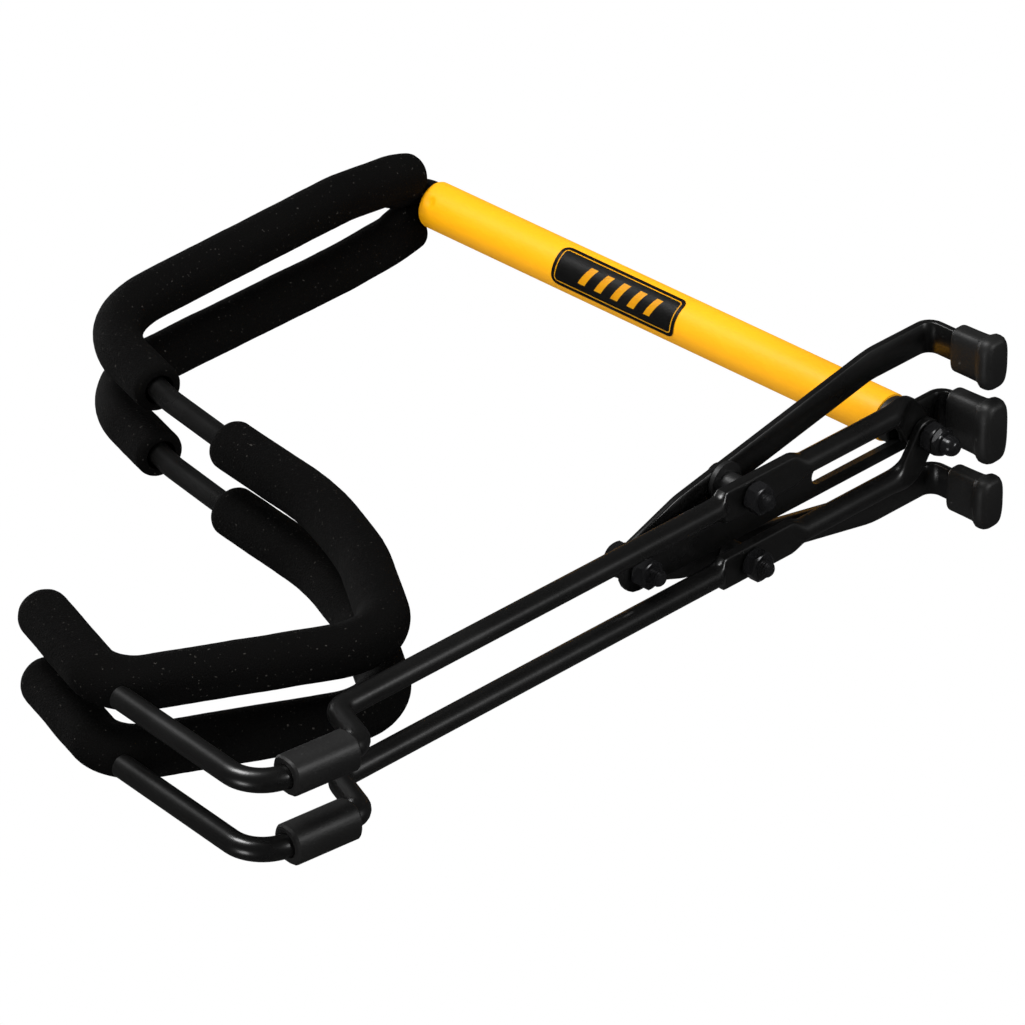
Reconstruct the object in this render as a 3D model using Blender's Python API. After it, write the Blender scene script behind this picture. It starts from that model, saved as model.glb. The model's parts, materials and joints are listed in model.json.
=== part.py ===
"""Folding guitar stand in its folded state, standing upright on its five feet.

It is modelled with +Z up the post, +X towards the cradle and +Y to the stand's left.
Its feet are not quite square to the post, so the finished stand leans back a little.
All named sizes are in millimetres and are turned into metres by mm().
"""
import math

import bmesh
import bpy
from mathutils import Matrix, Vector

MM = 0.001
GAP = 0.3

# Round rods of the two side frames
ROD_R = 4.1
ROD_SIDES = 12
FRAME_Y = 13.0
PIN_R = 2.7
PIN_Y = 4.6
PIN_BOTTOM = 236.0
PIN_TOP = 256.9
ARM_Z = 264.9
ELBOW_R = 7.2
ARM_SPREAD_X0 = 12.6
ARM_SPREAD_X1 = 31.0
ARM_SPREAD_Y = 14.3
ARM_SPREAD_Z = 265.4

# Cradle rod in side view: x, z, bend radius
CRADLE_BENDS = [
    (162.8, 262.0, 40.0),
    (180.6, 204.0, 40.0),
    (187.4, 165.0, 60.0),
    (193.9, 116.0, 90.0),
    (208.0, 82.0, 90.0),
    (239.0, 36.6, 22.0),
    (323.4, 81.8, 16.0),
]
CRADLE_TIP = (306.2, 132.0)

# Foam pads on the cradle rods
UPPER_PAD_R = 8.8
LOWER_PAD_R = 9.1
PAD_BORE_R = 4.5
PAD_SIDES = 14
UPPER_PAD_START = (1.6, 9.0, 264.8)
UPPER_PAD_SPREAD = (13.0, 12.2, 265.2)
UPPER_PAD_END_Z = 212.0
LOWER_PAD_START_Z = 168.4
PAD_BEND_X = 150.0

# Base rods
MEMBER_Z = 20.0
FLOOR_HEEL_Z = -0.4
FLOOR_TOE_Z = 4.4
EYE_BEND_X = 9.0
JOGGLE_TOP_X = 281.2
JOGGLE_LOW_X = 289.4
JOGGLE_R = 6.3
FRONT_X = 332.3
FRONT_R = 13.0
STRUT_TOP = (324.4, 75.2)
ZONE_X0 = 66.0
ZONE_X1 = 101.0
ZONE_WIDTH = 12.4
ZONE_HEIGHT = 4.6
EYE_WIDTH = 12.0
EYE_HEIGHT = 3.0
LEFT_EYE_Z = 22.1
RIGHT_EYE_Z = 18.8

# Rubber sleeves that are the front feet
SLEEVE_X0 = 294.4
SLEEVE_X1 = 320.2
SLEEVE_WIDTH = 13.2
SLEEVE_BORE_R = 4.4

# Post
POST_R = 8.8
POST_BORE_R = 7.6
POST_Z0 = 35.0
POST_Z1 = 256.5
PLUG_FLANGE_Z0 = 28.8
SPACER_Z0 = 23.9
SPACER_Z1 = 25.7

# Pivots
BOLT_R = 3.0
HOLE_R = 3.35
CROSS_X = 88.0
CROSS_Y = 13.0
FRONT_PIVOT_X = 133.7

# Flat legs
BAR_T = 2.5
LEG_WIDTH = 12.0
CENTRE_WIDTH = 16.6
CENTRE_Z = 27.25
RIGHT_LEG_Z = 30.05
LEFT_LEG_Z = 32.85
LEG_DOG_X = 108.0
LEG_DOG_Y = 9.3
LEG_STRAIGHT_X = 14.0
LEG_FOOT_Y = 27.6
FOOT_X = -16.5
CENTRE_FOOT_X = -17.5
FOOT_END_Z = 3.2
BAR_BEND_R = 5.0
SLOT_X0 = -0.5
SLOT_X1 = 46.0
SLOT_R = 3.4

# Stance: the lean of the finished stand and the point that becomes its origin
LEAN = 1.25
ORIGIN_X = 155.26
ORIGIN_Z = 0.2

# Shading: faces meeting at a sharper angle than this keep a hard edge
SMOOTH_ANGLE = 35.0


def mm(*values):
    """A vector in metres from lengths in millimetres."""
    return Vector([value * MM for value in values])


def clear_scene():
    for item in list(bpy.data.objects):
        bpy.data.objects.remove(item, do_unlink=True)


def add_object(name, mesh_bm, material):
    """Finish a bmesh as a named object with outward faces."""
    bmesh.ops.remove_doubles(mesh_bm, verts=mesh_bm.verts, dist=1e-7)
    bmesh.ops.recalc_face_normals(mesh_bm, faces=mesh_bm.faces)
    if mesh_bm.calc_volume(signed=True) < 0.0:
        bmesh.ops.reverse_faces(mesh_bm, faces=mesh_bm.faces)
    mesh = bpy.data.meshes.new(name)
    mesh_bm.to_mesh(mesh)
    mesh_bm.free()
    item = bpy.data.objects.new(name, mesh)
    bpy.context.collection.objects.link(item)
    if material is not None:
        mesh.materials.append(material)
    return item


def make_material(name, color, roughness, metallic):
    material = bpy.data.materials.new(name)
    material.use_nodes = True
    shader = material.node_tree.nodes["Principled BSDF"]
    shader.inputs["Base Color"].default_value = (*color, 1.0)
    shader.inputs["Roughness"].default_value = roughness
    shader.inputs["Metallic"].default_value = metallic
    return material


# ---------------------------------------------------------------- paths

def filleted(corners, step=12.0):
    """Points along a polyline of (point, radius) corners, every bend rounded."""
    points = [Vector(corners[0][0])]
    for index in range(1, len(corners) - 1):
        corner = Vector(corners[index][0])
        radius = corners[index][1]
        before = (Vector(corners[index - 1][0]) - corner).normalized()
        after = (Vector(corners[index + 1][0]) - corner).normalized()
        turn = math.pi - before.angle(after)
        if radius <= 0.0 or turn < 1e-4:
            points.append(corner)
            continue
        reach = radius * math.tan(turn / 2.0)
        middle = (before + after).normalized()
        centre = corner + middle * (radius / math.cos(turn / 2.0))
        start = corner + before * reach - centre
        axis = before.cross(after).normalized()
        count = max(2, int(math.ceil(math.degrees(turn) / step)))
        for part in range(count + 1):
            turned = Matrix.Rotation(-turn * part / count, 3, axis) @ start
            points.append(centre + turned)
    points.append(Vector(corners[-1][0]))
    kept = [points[0]]
    for spot in points[1:]:
        if (spot - kept[-1]).length > 0.1:
            kept.append(spot)
    return kept


def with_points(points, stations):
    """Insert a point wherever the path crosses one of the stations (axis, value)."""
    result = [points[0]]
    for start, end in zip(points, points[1:]):
        cuts = []
        for axis, value in stations:
            low = start[axis] - value
            high = end[axis] - value
            if low * high < 0.0:
                cuts.append(low / (low - high))
        for share in sorted(cuts):
            spot = start.lerp(end, share)
            if (spot - result[-1]).length > 0.2:
                result.append(spot)
        if (end - result[-1]).length > 1e-6:
            result.append(end)
    return result


def frames_along(points, side):
    """Tangent, side and up vectors at every point, carried along without twist."""
    tangents = []
    for index in range(len(points)):
        ahead = points[min(index + 1, len(points) - 1)]
        behind = points[max(index - 1, 0)]
        here = points[index]
        one = (here - behind).normalized() if index > 0 else (ahead - here).normalized()
        two = (ahead - here).normalized() if index < len(points) - 1 else one
        tangents.append((one + two).normalized())
    frames = []
    side = Vector(side)
    for index, tangent in enumerate(tangents):
        if index > 0:
            turn = tangents[index - 1].rotation_difference(tangent)
            side = turn @ side
        side = (side - tangent * side.dot(tangent)).normalized()
        frames.append((tangent, side.copy(), tangent.cross(side)))
    return frames


def swept(points, sections, side):
    """A closed solid swept along points, with one section outline per point."""
    body = bmesh.new()
    frames = frames_along(points, side)
    rings = []
    for index, (spot, outline) in enumerate(zip(points, sections)):
        tangent, across, up = frames[index]
        stretch = 1.0
        bend_axis = None
        if 0 < index < len(points) - 1:
            one = (points[index] - points[index - 1]).normalized()
            two = (points[index + 1] - points[index]).normalized()
            half = one.angle(two) / 2.0
            if half > 1e-4:
                stretch = 1.0 / math.cos(half)
                bend_axis = (two - one).normalized()
        ring = []
        for width, height in outline:
            offset = across * width + up * height
            if bend_axis is not None:
                offset += bend_axis * (offset.dot(bend_axis) * (stretch - 1.0))
            ring.append(body.verts.new((spot + offset) * MM))
        rings.append(ring)
    count = len(rings[0])
    for one, two in zip(rings, rings[1:]):
        for index in range(count):
            after = (index + 1) % count
            body.faces.new((one[index], one[after], two[after], two[index]))
    body.faces.new(rings[0][::-1])
    body.faces.new(rings[-1])
    return body


def round_outline(radius, sides, turn=0.0):
    outline = []
    for index in range(sides):
        angle = 2.0 * math.pi * index / sides + turn
        outline.append((radius * math.cos(angle), radius * math.sin(angle)))
    return outline


def pressed_outline(width, height, sides, lift=0.0, square=0.5):
    """Outline of a round bar pressed flat: square is 1 for round, less for squarer."""
    outline = []
    for index in range(sides):
        angle = 2.0 * math.pi * (index + 0.5) / sides
        cosine = math.cos(angle)
        sine = math.sin(angle)
        across = math.copysign(abs(cosine) ** square, cosine) * width / 2.0
        up = math.copysign(abs(sine) ** square, sine) * height / 2.0
        outline.append((across, up + lift))
    return outline


# ---------------------------------------------------------------- simple solids

def ring_solid(levels, sides, centre, bore_levels=None, turn=0.0):
    """A turned piece from (radius, z) levels, with an optional through bore."""
    body = bmesh.new()
    outer = turned_rings(body, levels, sides, centre, turn)
    if bore_levels is None:
        body.faces.new(outer[0])
        body.faces.new(outer[-1])
        return body
    inner = turned_rings(body, bore_levels, sides, centre, turn)
    for one, two in ((outer[0], inner[0]), (outer[-1], inner[-1])):
        for index in range(sides):
            after = (index + 1) % sides
            body.faces.new((one[index], one[after], two[after], two[index]))
    return body


def turned_rings(body, levels, sides, centre, turn):
    rings = []
    for radius, z in levels:
        ring = []
        for index in range(sides):
            angle = 2.0 * math.pi * index / sides + turn
            x = centre[0] + radius * math.cos(angle)
            y = centre[1] + radius * math.sin(angle)
            ring.append(body.verts.new(mm(x, y, z)))
        rings.append(ring)
    for one, two in zip(rings, rings[1:]):
        for index in range(sides):
            after = (index + 1) % sides
            body.faces.new((one[index], one[after], two[after], two[index]))
    return rings


def prism(outline, z0, z1):
    """A solid from a plan outline between two heights."""
    body = bmesh.new()
    low = [body.verts.new(mm(x, y, z0)) for x, y in outline]
    high = [body.verts.new(mm(x, y, z1)) for x, y in outline]
    count = len(outline)
    for index in range(count):
        after = (index + 1) % count
        body.faces.new((low[index], low[after], high[after], high[index]))
    body.faces.new(low[::-1])
    body.faces.new(high)
    return body


def rounded_box_outline(centre, size, radius, corner_steps=4):
    outline = []
    half_x = size[0] / 2.0 - radius
    half_y = size[1] / 2.0 - radius
    for quarter, (sx, sy) in enumerate(((1, 1), (-1, 1), (-1, -1), (1, -1))):
        for part in range(corner_steps + 1):
            angle = math.radians(90.0 * quarter + 90.0 * part / corner_steps)
            x = centre[0] + sx * half_x + radius * math.cos(angle)
            y = centre[1] + sy * half_y + radius * math.sin(angle)
            outline.append((x, y))
    return outline


def boolean(item, cutter, operation):
    """Apply an exact Boolean and remove the cutter."""
    cutter.display_type = "WIRE"
    cutter.hide_render = True
    modifier = item.modifiers.new("cut", "BOOLEAN")
    modifier.operation = operation
    modifier.solver = "EXACT"
    modifier.object = cutter
    bpy.context.view_layer.update()
    graph = bpy.context.evaluated_depsgraph_get()
    result = bpy.data.meshes.new_from_object(item.evaluated_get(graph))
    item.modifiers.clear()
    old = item.data
    item.data = result
    result.name = item.name
    bpy.data.meshes.remove(old)
    bpy.data.objects.remove(cutter, do_unlink=True)


def cut_bore(item, radius, z0, z1, centre, sides=16):
    """Cut an upright round hole."""
    cutter = add_object("cutter", ring_solid([(radius, z0), (radius, z1)], sides, centre), None)
    boolean(item, cutter, "DIFFERENCE")


# ---------------------------------------------------------------- side frames

def cradle_path(side, step=15.0):
    """Centre line of one cradle rod from the post to the upturned tip."""
    corners = [
        ((0.0, side * PIN_Y, PIN_TOP), 0.0),
        ((0.0, side * PIN_Y, ARM_Z), ELBOW_R),
        ((ARM_SPREAD_X0, side * PIN_Y, ARM_Z), 20.0),
        ((ARM_SPREAD_X1, side * ARM_SPREAD_Y, ARM_SPREAD_Z), 24.0),
    ]
    for x, z, radius in CRADLE_BENDS:
        corners.append(((x, side * FRAME_Y, z), radius))
    corners.append(((CRADLE_TIP[0], side * FRAME_Y, CRADLE_TIP[1]), 0.0))
    return filleted(corners, step)


def make_cradle_rod(name, side, material):
    """Round rod with a thinner pin that turns inside the post."""
    points = cradle_path(side)
    start = points[0]
    points = [
        Vector((start.x, start.y, PIN_BOTTOM)),
        Vector((start.x, start.y, PIN_TOP - 0.02)),
    ] + points
    sections = [round_outline(PIN_R, ROD_SIDES)] * 2
    sections += [round_outline(ROD_R, ROD_SIDES)] * (len(points) - 2)
    return add_object(name, swept(points, sections, (0.0, 1.0, 0.0)), material)


def base_corners(side):
    """Bend points of one base rod from its eye to the top of the strut."""
    y = side * FRAME_Y
    return [
        ((0.0, 0.0, MEMBER_Z), 0.0),
        ((EYE_BEND_X, y, MEMBER_Z), 11.0),
        ((JOGGLE_TOP_X, y, MEMBER_Z), JOGGLE_R),
        ((JOGGLE_LOW_X, y, FLOOR_HEEL_Z), JOGGLE_R),
        ((FRONT_X, y, FLOOR_TOE_Z), FRONT_R),
        ((STRUT_TOP[0], y, STRUT_TOP[1]), 0.0),
    ]


def base_sections(points, eye_z):
    """Outline at each point: flat strip at the eye, round rod, flat pivot zone."""
    lift = eye_z - MEMBER_Z
    flat_end = 7.0
    round_start = 17.0
    sections = []
    for spot in points:
        if spot.z < MEMBER_Z - 0.1 or spot.x > ZONE_X1 + 3.0:
            sections.append(pressed_outline(2 * ROD_R, 2 * ROD_R, ROD_SIDES, 0.0, 1.0))
        elif spot.x >= ZONE_X0 - 0.1 and spot.x <= ZONE_X1 + 0.1:
            sections.append(pressed_outline(ZONE_WIDTH, ZONE_HEIGHT, ROD_SIDES, 0.0, 0.35))
        elif spot.x > round_start:
            sections.append(pressed_outline(2 * ROD_R, 2 * ROD_R, ROD_SIDES, 0.0, 1.0))
        else:
            share = min(1.0, max(0.0, (spot.x - flat_end) / (round_start - flat_end)))
            share = share * share * (3.0 - 2.0 * share)
            width = EYE_WIDTH + (2 * ROD_R - EYE_WIDTH) * share
            height = EYE_HEIGHT + (2 * ROD_R - EYE_HEIGHT) * share
            square = 0.3 + 0.7 * share
            sections.append(pressed_outline(width, height, ROD_SIDES, lift * (1.0 - share), square))
    return sections


def make_base_rod(name, side, eye_z, material):
    points = filleted(base_corners(side), 18.0)
    stations = [(0, ZONE_X0 - 3.0), (0, ZONE_X0), (0, ZONE_X1), (0, ZONE_X1 + 1.6), (0, 7.0), (0, 17.0)]
    points = with_points(points, stations)
    first = (points[1] - points[0]).normalized()
    across = Vector((0.0, 0.0, 1.0)).cross(first)
    sections = base_sections(points, eye_z)
    rod = add_object(name, swept(points, sections, across), material)
    low = eye_z - EYE_HEIGHT / 2.0
    high = eye_z + EYE_HEIGHT / 2.0
    eye_levels = [(EYE_WIDTH / 2.0 - 0.4, low), (EYE_WIDTH / 2.0, low + 0.4),
                  (EYE_WIDTH / 2.0, high - 0.4), (EYE_WIDTH / 2.0 - 0.4, high)]
    eye = add_object("eye", ring_solid(eye_levels, 24, (0.0, 0.0)), None)
    boolean(rod, eye, "UNION")
    cut_bore(rod, HOLE_R, eye_z - 4.0, eye_z + 4.0, (0.0, 0.0))
    cut_bore(rod, HOLE_R, 12.0, 28.0, (CROSS_X, side * CROSS_Y))
    return rod


def part_of_path(points, begin, end):
    """The stretch of a path between two (index, share) spots."""
    start = points[begin[0]].lerp(points[begin[0] + 1], begin[1])
    stop = points[end[0]].lerp(points[end[0] + 1], end[1])
    return [start] + points[begin[0] + 1:end[0] + 1] + [stop]


def crossing(points, z, after_x):
    """Where the path first passes height z beyond after_x, as (index, share)."""
    for index in range(len(points) - 1):
        if points[index].x < after_x:
            continue
        low = points[index].z - z
        high = points[index + 1].z - z
        if low * high <= 0.0 and low != high:
            return index, low / (low - high)
    return len(points) - 2, 1.0


def rounded_sleeve_radii(points, radius, rounding):
    """Stations and radii for a sleeve whose ends are rounded over."""
    total = [0.0]
    for one, two in zip(points, points[1:]):
        total.append(total[-1] + (two - one).length)
    length = total[-1]
    distances = list(total)
    extra = []
    for share in (0.0, 0.3, 1.0):
        extra.append(rounding * share)
        extra.append(length - rounding * share)
    distances = sorted(set([round(value, 4) for value in distances + extra]))
    kept = []
    for value in distances:
        if kept and value - kept[-1] < 0.25:
            continue
        kept.append(value)
    spots = []
    radii = []
    for value in kept:
        spots.append(spot_at(points, total, value))
        inset = 0.0
        depth = min(value, length - value)
        if depth < rounding:
            inset = rounding - math.sqrt(max(0.0, rounding ** 2 - (rounding - depth) ** 2))
        radii.append(radius - inset * 0.7)
    return spots, radii


def spot_at(points, total, value):
    for index in range(len(points) - 1):
        if value <= total[index + 1] or index == len(points) - 2:
            share = (value - total[index]) / (total[index + 1] - total[index])
            return points[index].lerp(points[index + 1], min(1.0, share))
    return points[-1]


def make_pad(name, path, radius, material):
    """A foam tube along part of the cradle rod, bored for the rod."""
    spots, radii = rounded_sleeve_radii(path, radius, 3.0)
    sections = [round_outline(value, PAD_SIDES) for value in radii]
    pad = add_object(name, swept(spots, sections, (0.0, 1.0, 0.0)), material)
    return pad


def cut_channel(pad, path, radius):
    sections = [round_outline(radius, PAD_SIDES)] * len(path)
    cutter = add_object("cutter", swept(path, sections, (0.0, 1.0, 0.0)), None)
    boolean(pad, cutter, "DIFFERENCE")


def make_upper_pad(name, side, material):
    """Foam round the arm: its end fits over the post, its inner face meets the other pad's."""
    rod = cradle_path(side)
    start_x, start_y, start_z = UPPER_PAD_START
    spread_x, spread_y, spread_z = UPPER_PAD_SPREAD
    corners = [
        (Vector((start_x, side * start_y, start_z)), 0.0),
        (Vector((spread_x, side * spread_y, spread_z)), 30.0),
        (Vector((ARM_SPREAD_X1 + 9.0, side * ARM_SPREAD_Y, ARM_SPREAD_Z)), 60.0),
    ]
    for x, z, radius in CRADLE_BENDS[:3]:
        corners.append(((x, side * FRAME_Y, z), radius))
    path = filleted(corners, 15.0)
    end = crossing(path, UPPER_PAD_END_Z, PAD_BEND_X)
    pad = make_pad(name, part_of_path(path, (0, 0.0), end), UPPER_PAD_R, material)
    beyond = crossing(rod, UPPER_PAD_END_Z - 6.0, PAD_BEND_X)
    cut_channel(pad, part_of_path(rod, (0, 0.0), beyond), PAD_BORE_R)
    inner = [(-30.0, -30.0), (60.0, -30.0), (60.0, GAP), (-30.0, GAP)]
    inner = [(x, y * side) for x, y in inner]
    boolean(pad, add_object("inner", prism(inner, 230.0, 285.0), None), "DIFFERENCE")
    cut_bore(pad, POST_R + GAP, 230.0, POST_Z1 + GAP, (0.0, 0.0), 28)
    return pad


def make_lower_pad(name, side, material):
    path = cradle_path(side)
    begin = crossing(path, LOWER_PAD_START_Z, PAD_BEND_X)
    last = path[-1]
    beyond = (path[-1] - path[-2]).normalized()
    longer_path = path[:-1] + [last + beyond * 4.0]
    end = (len(longer_path) - 2, 1.0)
    pad = make_pad(name, part_of_path(longer_path, begin, end), LOWER_PAD_R, material)
    start = part_of_path(path, begin, (len(path) - 2, 1.0))
    before = (start[0] - start[1]).normalized() * 4.0
    channel = [start[0] + before] + start[1:-1] + [last + beyond * GAP]
    cut_channel(pad, channel, PAD_BORE_R)
    y = side * FRAME_Y
    strut = [Vector((FRONT_X - 0.5, y, 20.0)), Vector((STRUT_TOP[0], y, STRUT_TOP[1]))]
    top = strut[1] + (strut[1] - strut[0]).normalized() * 2.0
    cut_channel(pad, [strut[0], top], ROD_R + 0.4)
    return pad


def floor_point(x, side):
    """A point on the centre line of the floor segment of a base rod."""
    share = (x - JOGGLE_LOW_X) / (FRONT_X - JOGGLE_LOW_X)
    return Vector((x, side * FRAME_Y, FLOOR_HEEL_Z + share * (FLOOR_TOE_Z - FLOOR_HEEL_Z)))


def make_front_foot(name, side, material):
    """Rubber sleeve, nearly square in section, on the floor segment of a base rod."""
    points = []
    sections = []
    for x, width in ((SLEEVE_X0, SLEEVE_WIDTH - 1.2), (SLEEVE_X0 + 0.8, SLEEVE_WIDTH),
                     (SLEEVE_X1 - 0.8, SLEEVE_WIDTH), (SLEEVE_X1, SLEEVE_WIDTH - 1.2)):
        points.append(floor_point(x, side))
        sections.append(pressed_outline(width, width, 20, 0.0, 0.72))
    foot = add_object(name, swept(points, sections, (0.0, 1.0, 0.0)), material)
    bore = [floor_point(SLEEVE_X0 - 3.0, side), floor_point(SLEEVE_X1 + 3.0, side)]
    cut_channel(foot, bore, SLEEVE_BORE_R)
    return foot


# ---------------------------------------------------------------- post

def make_post(materials):
    outer = [(POST_R, POST_Z0), (POST_R, POST_Z1)]
    inner = [(POST_BORE_R, POST_Z0), (POST_BORE_R, POST_Z1)]
    add_object("post_tube", ring_solid(outer, 32, (0.0, 0.0), inner), materials["yellow_paint"])
    flange_r = POST_R - 0.6
    stem_r = POST_BORE_R - GAP
    top = POST_Z0 + 15.0
    outer = [
        (flange_r - 0.5, PLUG_FLANGE_Z0), (flange_r, PLUG_FLANGE_Z0 + 0.5),
        (flange_r, POST_Z0 - GAP), (stem_r, POST_Z0 - GAP), (stem_r, top),
    ]
    inner = [(HOLE_R, PLUG_FLANGE_Z0), (HOLE_R, top)]
    add_object("post_plug", ring_solid(outer, 28, (0.0, 0.0), inner), materials["black_plastic"])
    make_label(materials["label_print"])


def make_label(material):
    """Thin curved label on the side of the post that faces forwards and left."""
    inner_r = POST_R + 0.15
    outer_r = POST_R + 0.45
    z_low = 129.3
    z_high = 189.6
    middle = math.radians(35.0)
    half = math.radians(52.0)
    count = 12
    label = bmesh.new()
    columns = []
    for index in range(count + 1):
        angle = middle - half + 2.0 * half * index / count
        column = []
        for radius, z in ((inner_r, z_low), (outer_r, z_low), (outer_r, z_high), (inner_r, z_high)):
            column.append(label.verts.new(mm(radius * math.cos(angle), radius * math.sin(angle), z)))
        columns.append(column)
    for one, two in zip(columns, columns[1:]):
        for index in range(4):
            after = (index + 1) % 4
            label.faces.new((one[index], one[after], two[after], two[index]))
    label.faces.new(columns[0])
    label.faces.new(columns[-1])
    add_object("post_label", label, material)


# ---------------------------------------------------------------- flat legs

def bar_outline(width, thickness):
    edge = 0.35
    half_w = width / 2.0
    half_t = thickness / 2.0
    return [
        (-half_w + edge, -half_t), (half_w - edge, -half_t), (half_w, -half_t + edge),
        (half_w, half_t - edge), (half_w - edge, half_t), (-half_w + edge, half_t),
        (-half_w, half_t - edge), (-half_w, -half_t + edge),
    ]


def make_bar(name, corners, z, foot, width, material):
    """A flat leg: rounded, bored front end, plan corners, and a bend down into its foot."""
    path = [((x, y, z), radius) for x, y, radius in corners]
    path.append(((foot[0], foot[1], z), BAR_BEND_R))
    path.append(((foot[0], foot[1], FOOT_END_Z), 0.0))
    points = filleted(path, 15.0)
    first = (points[1] - points[0]).normalized()
    across = Vector((0.0, 0.0, 1.0)).cross(first)
    sections = [bar_outline(width, BAR_T)] * len(points)
    tip = []
    for degrees in (74.0, 57.0, 40.0, 22.0):
        angle = math.radians(degrees)
        tip.append(points[0] - first * (width / 2.0 * math.sin(angle)))
        sections.insert(len(tip) - 1, bar_outline(width * math.cos(angle), BAR_T))
    bar = add_object(name, swept(tip + points, sections, across), material)
    cut_bore(bar, HOLE_R, z - 4.0, z + 4.0, (FRONT_PIVOT_X, 0.0))
    return bar


def make_centre_leg(material):
    """Middle leg with the long slot that the hinge bolt slides in."""
    corners = [(FRONT_PIVOT_X, 0.0, 0.0)]
    bar = make_bar("centre_leg", corners, CENTRE_Z, (CENTRE_FOOT_X, 0.0), CENTRE_WIDTH, material)
    outline = []
    for half_turn, centre_x in ((0, SLOT_X1), (1, SLOT_X0)):
        for part in range(9):
            angle = math.radians(-90.0 + 180.0 * half_turn + 180.0 * part / 8)
            outline.append((centre_x + SLOT_R * math.cos(angle), SLOT_R * math.sin(angle)))
    boolean(bar, add_object("slot", prism(outline, CENTRE_Z - 4.0, CENTRE_Z + 4.0), None), "DIFFERENCE")
    return bar


def make_rear_leg(name, side, z, material):
    """Outer leg: it bends out past the cross pivot and runs straight back."""
    corners = [
        (FRONT_PIVOT_X, 0.0, 0.0),
        (LEG_DOG_X, side * LEG_DOG_Y, 18.0),
        (LEG_STRAIGHT_X, side * LEG_FOOT_Y, 30.0),
    ]
    bar = make_bar(name, corners, z, (FOOT_X, side * LEG_FOOT_Y), LEG_WIDTH, material)
    cut_bore(bar, HOLE_R, z - 4.0, z + 4.0, (CROSS_X, side * CROSS_Y))
    return bar


def make_foot_cap(name, centre, size, sole, height, bar_width, material):
    """Rubber cap: rounded box with a wider sole and a pocket for the bar."""
    cap = bmesh.new()
    levels = [
        (0.0, sole[0] - 3.0, sole[1] - 3.0, 2.6),
        (0.5, sole[0] - 1.0, sole[1] - 1.0, 3.4),
        (1.6, sole[0], sole[1], 3.8),
        (3.0, sole[0], sole[1], 3.8),
        (4.6, size[0] + 0.4, size[1] + 0.4, 2.6),
        (height - 0.8, size[0], size[1], 2.4),
        (height, size[0] - 1.2, size[1] - 1.2, 1.9),
    ]
    rings = []
    for z, x_size, y_size, radius in levels:
        outline = rounded_box_outline(centre, (x_size, y_size), radius)
        rings.append([cap.verts.new(mm(x, y, z)) for x, y in outline])
    count = len(rings[0])
    for one, two in zip(rings, rings[1:]):
        for index in range(count):
            after = (index + 1) % count
            cap.faces.new((one[index], one[after], two[after], two[index]))
    cap.faces.new(rings[0][::-1])
    cap.faces.new(rings[-1])
    item = add_object(name, cap, material)
    half_x = BAR_T / 2.0 + GAP
    half_y = bar_width / 2.0 + GAP
    x, y = centre
    pocket = [(x - half_x, y - half_y), (x + half_x, y - half_y), (x + half_x, y + half_y), (x - half_x, y + half_y)]
    cutter = add_object("pocket", prism(pocket, FOOT_END_Z - GAP, height + 5.0), None)
    boolean(item, cutter, "DIFFERENCE")
    return item


# ---------------------------------------------------------------- fasteners

def hex_levels(radius, z0, z1, edge=0.5):
    return [(radius - edge, z0), (radius, z0 + edge), (radius, z1 - edge), (radius - edge, z1)]


def make_bored_hex(name, centre, radius, z0, z1, bore, material, turn=0.0):
    """Hexagonal nut with a plain bore."""
    bottom_corners = hex_levels(radius, z0, z1)
    nut = add_object(name, ring_solid(bottom_corners, 6, centre, None, turn), material)
    cut_bore(nut, bore, z0 - 2.0, z1 + 2.0, centre)
    return nut


def make_bolt(name, centre, head_z0, head_z1, end_z, material, head_sides=6, head_r=5.6):
    """Bolt with its head on top and its plain thread end below."""
    head = ring_solid(hex_levels(head_r, head_z0, head_z1, 0.4), head_sides, centre)
    bolt = add_object(name, head, material)
    shank_levels = [(BOLT_R - 0.6, end_z), (BOLT_R, end_z + 0.6), (BOLT_R, head_z0 + 0.5)]
    shank = add_object("shank", ring_solid(shank_levels, 16, centre), None)
    boolean(bolt, shank, "UNION")
    return bolt


def make_main_hinge(materials):
    steel = materials["black_steel"]
    centre = (0.0, 0.0)
    plug_top = POST_Z0 + 15.0
    make_bolt("main_bolt", centre, plug_top + GAP, plug_top + 4.3, 6.2, steel)
    spacer_levels = [(6.0, SPACER_Z0), (6.0, SPACER_Z1)]
    bore_levels = [(HOLE_R, SPACER_Z0), (HOLE_R, SPACER_Z1)]
    add_object("main_spacer", ring_solid(spacer_levels, 24, centre, bore_levels), materials["black_plastic"])
    make_bored_hex("main_nut", centre, 5.7, 12.4, 17.0, HOLE_R, steel, 0.3)
    cap_levels = [(1.2, 3.4), (3.0, 4.2), (4.3, 6.0), (4.8, 8.2), (4.8, 9.0), (5.5, 9.4), (5.5, 12.1)]
    cap = add_object("main_cap_nut", ring_solid(cap_levels, 18, centre), steel)
    cut_bore(cap, HOLE_R, 5.9, 14.0, centre)


def make_front_pivot(materials):
    steel = materials["black_steel"]
    centre = (FRONT_PIVOT_X, 0.0)
    top = LEFT_LEG_Z + BAR_T / 2.0
    washer_z = top + GAP
    head_z = washer_z + 0.8 + GAP
    washer = [(6.2, washer_z), (6.2, washer_z + 0.8)]
    bore = [(HOLE_R, washer_z), (HOLE_R, washer_z + 0.8)]
    add_object("front_washer", ring_solid(washer, 24, centre, bore), steel)
    make_bolt("front_bolt", centre, head_z, head_z + 3.4, 15.8, steel)
    nut_top = CENTRE_Z - BAR_T / 2.0 - GAP
    make_bored_hex("front_nut", centre, 5.7, nut_top - 5.6, nut_top, HOLE_R, steel, 0.2)


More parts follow.
